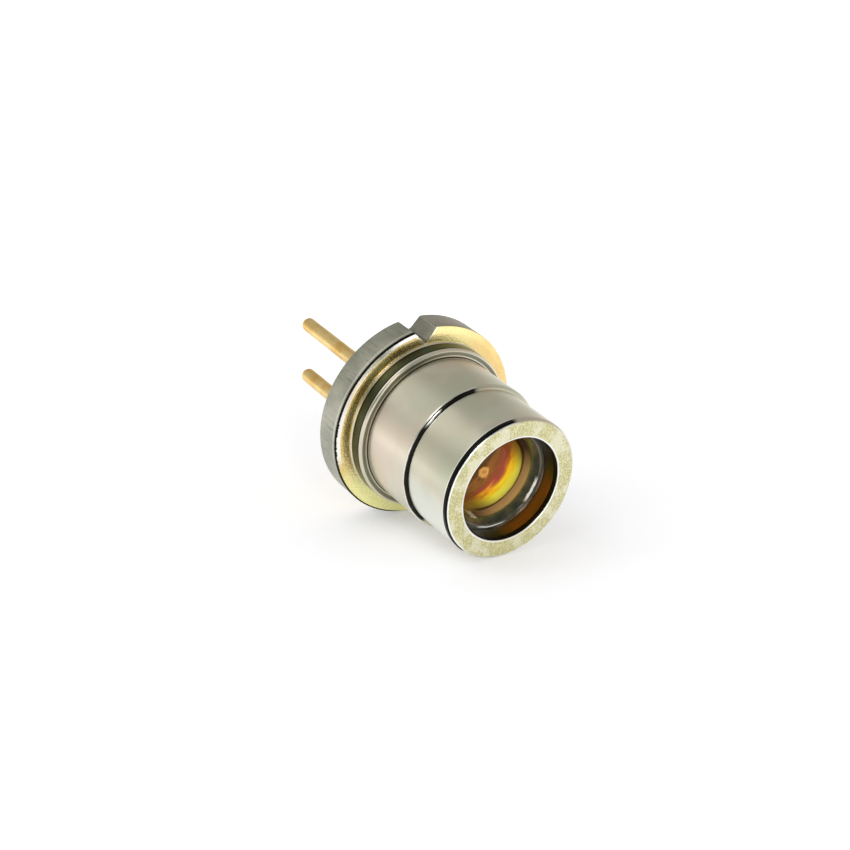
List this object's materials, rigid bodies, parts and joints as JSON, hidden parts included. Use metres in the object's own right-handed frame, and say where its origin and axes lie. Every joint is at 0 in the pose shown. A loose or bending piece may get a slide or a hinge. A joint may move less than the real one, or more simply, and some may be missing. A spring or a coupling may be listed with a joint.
{
  "type": "laser diode",
  "caption": "Laser diode in a round metal can: notched flange with straight leads behind it and a stepped barrel in front that holds a recessed lens.",
  "frame": {"origin": "centre of the flange's front face, on the beam axis", "axes": "+Z along the beam towards the nose, +X towards the first V-notch in the rim"},
  "size_m": [0.0056, 0.0056, 0.0095],
  "materials": {
    "gold_plate": "satin gold plating",
    "gold_lead": "satin gold plating",
    "nickel": "satin nickel plating",
    "lens_glass": "polished, coated glass",
    "seal_glass": "glossy opaque glass",
    "feed_glass": "glossy opaque glass",
    "ceramic": "matte",
    "semiconductor": "polished",
    "gold_wire": "bright gold"
  },
  "bodies": {
    "root": {"base": "gold_plate", "lead_laser": "gold_lead", "lead_case": "gold_lead", "lead_monitor": "gold_lead", "glass_laser": "feed_glass", "glass_monitor": "feed_glass", "heat_sink": "gold_plate", "submount": "ceramic", "laser_chip": "semiconductor", "photodiode": "semiconductor", "wire_laser": "gold_wire", "wire_ground": "gold_wire", "wire_monitor": "gold_wire", "cap": "nickel", "lens": "lens_glass", "lens_seal": "seal_glass"}
  },
  "joints": []
}
